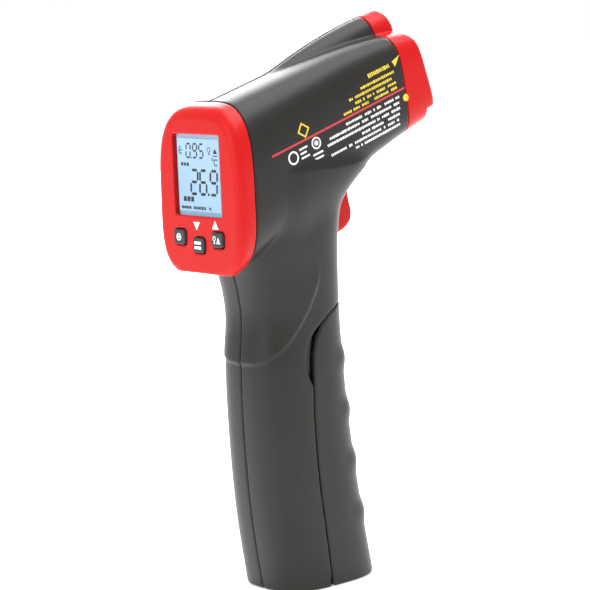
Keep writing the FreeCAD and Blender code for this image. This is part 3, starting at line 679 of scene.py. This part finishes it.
def trigger_field(space):
    side = trigger_side(space) + 0.1
    dip = 1.1 * np.exp(-((space.z - 118.5) / 4.5) ** 2) * ease((space.x - 19.0) / 4.0)
    body = carve(side + dip * 0.4, np.abs(space.y) - TRIGGER_HALF, 1.6)
    return np.maximum(body, -rod_y(space, *TRIGGER_PIVOT, TRIGGER_BORE))


trigger = mesh_of_field("trigger_moulding", trigger_space, trigger_field(trigger_space))
settle(outward(trigger), "trigger", "red_trim", "trigger")

# ---------------------------------------------------------------- keys


def key_field(space, y, s):
    width, height = KEY_SIZE
    across = space.y - y
    up = space.up - s
    side = rounded_box(across, up, width / 2, height / 2, 1.2)
    dish = 0.18 * np.exp(-(across / 2.2) ** 2 - (up / 1.9) ** 2)
    cap = carve(side, FACE_AT - 0.8 - space.along + dish, 0.5)
    cap = np.maximum(cap, space.along - FACE_AT - WALL - 0.3)
    flange = rounded_box(across, up, width / 2 + 0.8, height / 2 + 0.5, 1.2)
    skirt = np.abs(space.along - FACE_AT - WALL - 0.35) - 0.25
    stem = np.maximum(np.hypot(across, up) - 1.1, np.abs(space.along - FACE_AT - WALL - 0.6) - 0.5)
    return join(join(cap, np.maximum(flange, skirt)), stem)


for key, (y, s) in KEYS.items():
    low = (FACE_AT - 1.2, y - 4.2, s - 3.6)
    high = (FACE_AT + WALL + 1.6, y + 4.2, s + 3.6)
    key_space = Space(low, high, KEY_STEP, FACE_TURN, HEAD_ORIGIN)
    piece = mesh_of_field(f"button_{key}_cap", key_space, key_field(key_space, y, s))
    settle(outward(piece), f"button_{key}", "button_rubber", f"button_{key}")

# ---------------------------------------------------------------- prints, marks and segments


def on_face(depth):
    """Places outlines on the display face: across to starboard and up, at a depth."""
    c, s = math.cos(FACE_TURN), math.sin(FACE_TURN)

    def place(across, up, lift):
        along = depth - lift
        return (HEAD_ORIGIN[0] + along * c + up * s, -across, HEAD_ORIGIN[1] - along * s + up * c)

    return place


def on_side(side):
    """Places outlines on the head's flank: forward and up the barrel."""
    c, s = math.cos(BARREL_TURN), math.sin(BARREL_TURN)

    def place(u, w, lift):
        middle = head_middle(u)
        reach = head_top(u) - middle if w > middle else middle - head_bottom(u)
        power = head_power(u)
        bulge = (1 - (abs(w - middle) / reach) ** power) ** (1 / power)
        y = side * (head_width(u) * bulge + lift)
        return (HEAD_ORIGIN[0] + u * c + w * s, y, HEAD_ORIGIN[1] - u * s + w * c)

    return place


def print_piece(name, outlines, place, body, material, slot_name, low=-0.03, high=0.06):
    """Thin raised plates, one for each convex outline."""
    points = []
    faces_list = []
    for outline in outlines:
        first = len(points)
        count = len(outline)
        points += [place(a, b, low) for a, b in outline]
        points += [place(a, b, high) for a, b in outline]
        faces_list.append([first + k for k in range(count)])
        faces_list.append([first + count + k for k in reversed(range(count))])
        for k in range(count):
            after = (k + 1) % count
            faces_list.append([first + after, first + k, first + count + k, first + count + after])
    item = outward(add_mesh(name, points, faces_list))
    for polygon_face in item.data.polygons:
        polygon_face.use_smooth = False
    return settle(item, body, slot_name, material=material)


def strip(a0, a1, b, height, pieces=1):
    """A bar along one line, cut into lengths so that it can follow a curve."""
    step = (a1 - a0) / pieces
    bars = []
    for k in range(pieces):
        left = a0 + k * step
        bars.append([(left, b - height / 2), (left + step, b - height / 2),
                     (left + step, b + height / 2), (left, b + height / 2)])
    return bars


def ring(a, b, radius, thickness, count=24):
    """A ring as a chain of short plates."""
    plates = []
    for k in range(count):
        angles = (2 * math.pi * k / count, 2 * math.pi * (k + 1) / count)
        outline = [(a + r * math.cos(t), b + r * math.sin(t))
                   for r, t in ((radius, angles[0]), (radius, angles[1]),
                                (radius - thickness, angles[1]), (radius - thickness, angles[0]))]
        plates.append(outline)
    return plates


def disc(a, b, radius, count=20):
    angles = [2 * math.pi * k / count for k in range(count)]
    return [[(a + radius * math.cos(t), b + radius * math.sin(t)) for t in angles]]


def ticks(a0, a1, b, height, chance):
    """A line of fine print with no letters in it: short blocks of uneven width."""
    blocks = []
    at = a0
    while at < a1 - 0.3:
        width = chance.uniform(0.35, 0.95)
        if chance.random() > 0.14:
            blocks += strip(at, min(at + width, a1), b, height * chance.uniform(0.72, 1.0))
        at += width + 0.22
    return blocks


def word_blocks(a, b, size, height):
    """Three solid blocks in a row, in place of a word."""
    blocks = []
    for k in range(3):
        left = a + k * (size + WORD_GAP)
        blocks += strip(left, left + size, b, height)
    return blocks


WORD_GAP = 0.4
chance = np.random.default_rng(7)
starboard = on_side(-1)
# start, end, height up the flank and size of each line of fine print
YELLOW_LINES = [(47.1, 57.4, -9.6, 1.4), (42.7, 57.5, -12.0, 0.9), (36.2, 57.2, -13.7, 0.9),
                (39.0, 57.2, -15.4, 0.9), (33.3, 57.1, -17.0, 0.9)]
WHITE_LINES = [(33.1, 56.8, -20.1, 0.9), (25.2, 56.4, -21.8, 0.9), (23.7, 55.9, -23.5, 0.9),
               (38.2, 55.3, -25.2, 0.9), (24.1, 54.8, -26.8, 0.9), (34.4, 54.5, -28.4, 0.9)]
POINTER = [(58.1, -8.9), (61.9, -8.1), (58.7, -10.8)]
DIAMOND = [
    [(13.9, -15.4), (16.4, -12.9), (16.7, -13.3), (14.6, -15.4)],
    [(16.4, -12.9), (18.9, -15.4), (18.2, -15.4), (16.1, -13.3)],
    [(18.9, -15.4), (16.4, -17.9), (16.1, -17.5), (18.2, -15.4)],
    [(16.4, -17.9), (13.9, -15.4), (14.6, -15.4), (16.7, -17.5)],
]
STRIPE = (1.9, 59.9, -18.3, 0.65)
ARROWS = [
    [(-2.8, -36.5), (0.6, -36.5), (-1.1, -39.1)],
    [(6.8, -38.3), (10.2, -38.3), (8.5, -35.7)],
]
yellow = []
for start, end, w, height in YELLOW_LINES:
    yellow += ticks(start, end, w, height, chance)
yellow.append(POINTER)
yellow += disc(59.4, -21.4, 1.15)
yellow += DIAMOND
print_piece("flank_print_yellow", yellow, starboard, "housing", INK_YELLOW, "dark_case")
white = []
for start, end, w, height in WHITE_LINES:
    white += ticks(start, end, w, height, chance)
white += ring(19.7, -20.9, 1.9, 0.5)
white += disc(19.7, -20.9, 0.8)
white += strip(17.2, 21.4, -24.1, 0.6) + strip(17.5, 21.2, -25.5, 0.6)
white += ring(9.6, -21.8, 2.1, 0.55)
for end, w in ((16.0, -20.4), (15.2, -21.8), (16.0, -23.2)):
    white += strip(12.6, end, w, 0.6)
print_piece("flank_print_white", white, starboard, "housing", INK_WHITE, "dark_case")
for side, label in ((1, "port"), (-1, "starboard")):
    band = strip(*STRIPE, pieces=24)
    print_piece(f"flank_stripe_{label}", band, on_side(side), "housing", INK_RED, "red_trim")

print_piece("face_arrows", ARROWS, on_face(FACE_AT), "housing", INK_WHITE, "red_trim", -0.02, 0.05)

KEY_MARKS = {
    "left": ring(0, 0, 1.15, 0.35) + disc(0, 0, 0.4),
    "middle": strip(-1.7, 1.7, 0.75, 0.9) + strip(-1.7, 1.7, -0.75, 0.9),
    "right": ring(-1.1, 0.5, 0.75, 0.25) + strip(-1.35, -0.85, -0.75, 0.8)
    + [[(-0.1, -1.1), (1.9, -1.1), (0.9, 0.9)]],
}
for key, (y, s) in KEYS.items():
    shifted = [[(a - y, b + s) for a, b in outline] for outline in KEY_MARKS[key]]
    print_piece(f"button_{key}_mark", shifted, on_face(FACE_AT - 0.72), f"button_{key}", INK_WHITE,
                "button_rubber", -0.12, 0.1)

SEGMENTS = {"0": "abcdef", "2": "abged", "5": "afgcd", "6": "afgedc", "9": "abcdfg"}


def digit(character, a, b, width, height, bold):
    """Seven-segment strokes with mitred ends, leaning a little, with a and b at the lower left."""
    half = height / 2
    ends = {
        "a": ((0, height), (width, height)),
        "b": ((width, half), (width, height)),
        "c": ((width, 0), (width, half)),
        "d": ((0, 0), (width, 0)),
        "e": ((0, 0), (0, half)),
        "f": ((0, half), (0, height)),
        "g": ((0, half), (width, half)),
    }
    strokes = []
    for name in SEGMENTS[character]:
        (x0, y0), (x1, y1) = ends[name]
        length = math.hypot(x1 - x0, y1 - y0)
        ax, ay = (x1 - x0) / length, (y1 - y0) / length
        near = 0.06 * width + 0.12 * bold
        far = length - 0.06 * width - 0.12 * bold
        mitre = bold / 2
        shape = [(near, 0), (near + mitre, mitre), (far - mitre, mitre), (far, 0),
                 (far - mitre, -mitre), (near + mitre, -mitre)]
        outline = [(x0 + t * ax - v * ay, y0 + t * ay + v * ax) for t, v in shape]
        strokes.append([(a + x + 0.07 * y, b + y) for x, y in outline])
    return strokes


def from_window(across, down):
    """A share of the display opening, from its upper left corner, as face coordinates."""
    width, height, centre = WINDOW
    return (-width / 2 + across * width, centre + height / 2 - down * height)


# how far down the opening the two rows of digits stand
SMALL_LINE = 0.265
BIG_LINE = 0.755
marks = []
for character, across in (("0", 0.215), ("9", 0.37), ("5", 0.52)):
    a, b = from_window(across, SMALL_LINE)
    marks += digit(character, a, b, 2.1, 4.2, 0.55)
a, b = from_window(0.335, SMALL_LINE)
marks += strip(a - 0.25, a + 0.25, b, 0.5)
for character, across in (("2", 0.3), ("6", 0.51), ("9", 0.755)):
    a, b = from_window(across, BIG_LINE)
    marks += digit(character, a, b, 3.4, 7.3, 0.85)
a, b = from_window(0.715, BIG_LINE)
marks += strip(a - 0.4, a + 0.4, b, 0.8)
a, b = from_window(0.1, 0.17)
marks += ring(a, b, 1.2, 0.35, 16)[4:13] + strip(a - 1.0, a + 0.6, b, 0.35)
a, b = from_window(0.09, 0.36)
marks += word_blocks(a, b, 1.1, 1.0)
a, b = from_window(0.12, 0.83)
marks += word_blocks(a, b, 1.5, 1.5)
a, b = from_window(0.84, 0.31)
marks += ring(a, b + 0.7, 0.5, 0.22, 12) + ring(a + 1.6, b - 0.2, 1.1, 0.35, 16)[2:14]
a, b = from_window(0.76, 0.15)
marks += ring(a, b, 0.85, 0.22, 16) + strip(a - 0.35, a + 0.35, b - 1.3, 0.5)
a, b = from_window(0.9, 0.17)
marks += [[(a - 1.0, b - 0.7), (a + 1.0, b - 0.7), (a, b + 0.9)]]
marks += strip(a - 1.2, a + 1.2, b - 1.4, 0.3)
a, b = from_window(0.06, 0.945)
marks += ticks(a, a + 15.5, b, 1.1, chance)
glass_front = FACE_AT + WINDOW_RECESS + WINDOW_THICKNESS + 0.1
print_piece("lcd_segments", marks, on_face(glass_front), "housing", SEGMENT, "lcd", -0.01, 0.04)

# ---------------------------------------------------------------- stage, lights, camera


FLOOR_REACH = 9e4
FLOOR_HEIGHT = -0.05
CAMERA_PLACE = (-0.49549, -0.65211, 0.21754)
CAMERA_RIGHT = (0.78538, -0.61450, -0.07459)
CAMERA_BACK = (-0.59996, -0.78533, 0.15262)
CAMERA_LENS = 160.76


def stage_floor():
    corners = [(a * FLOOR_REACH, b * FLOOR_REACH, FLOOR_HEIGHT)
               for a, b in ((-1, -1), (1, -1), (1, 1), (-1, 1))]
    floor = add_mesh("floor", corners, [[0, 1, 2, 3]])
    paper = finish("floor_white", (0.9, 0.9, 0.9), 0.9, grain=0.01, bump=0.0, mottle=0.0,
                   gleam=0.0)
    shader = paper.node_tree.nodes["Principled BSDF"]
    shader.inputs["Emission Color"].default_value = (1, 1, 1, 1)
    shader.inputs["Emission Strength"].default_value = 0.45
    floor.data.materials.append(paper)


def area_light(name, place, target, size, power):
    lamp = bpy.data.lights.new(name, "AREA")
    lamp.shape = "RECTANGLE"
    lamp.size, lamp.size_y = size
    lamp.energy = power
    item = bpy.data.objects.new(name, lamp)
    item.location = place
    item.rotation_euler = (Vector(target) - Vector(place)).to_track_quat("-Z", "Y").to_euler()
    bpy.context.scene.collection.objects.link(item)


def world_light(strength):
    world = bpy.data.worlds.new("studio")
    world.use_nodes = True
    background = world.node_tree.nodes["Background"]
    background.inputs["Color"].default_value = (1, 1, 1, 1)
    background.inputs["Strength"].default_value = strength
    bpy.context.scene.world = world


def camera():
    """The scene's camera, turned by its right and back directions in the row frame."""
    right = Vector(CAMERA_RIGHT).normalized()
    back = Vector(CAMERA_BACK).normalized()
    up = back.cross(right)
    data = bpy.data.cameras.new("camera")
    data.sensor_width = 36.0
    data.lens = CAMERA_LENS
    data.clip_end = 300.0
    item = bpy.data.objects.new("camera", data)
    turn = Matrix((right, up, back)).transposed().to_4x4()
    item.matrix_world = Matrix.Translation(CAMERA_PLACE) @ turn
    bpy.context.scene.collection.objects.link(item)
    bpy.context.scene.camera = item


stage_floor()
world_light(0.62)
area_light("overhead", place=(0.1, -0.1, 1.1), target=(0.0, 0.0, 0.12), size=(1.0, 1.0), power=14.0)
area_light("display_side", place=(-1.0, 0.1, 0.5), target=(-0.02, 0.0, 0.12), size=(0.7, 0.7),
           power=3.5)
area_light("back_rim", place=(0.7, 0.9, 0.5), target=(0.0, 0.0, 0.1), size=(0.9, 0.9), power=24.0)
camera()
bpy.context.scene.view_settings.view_transform = "Standard"
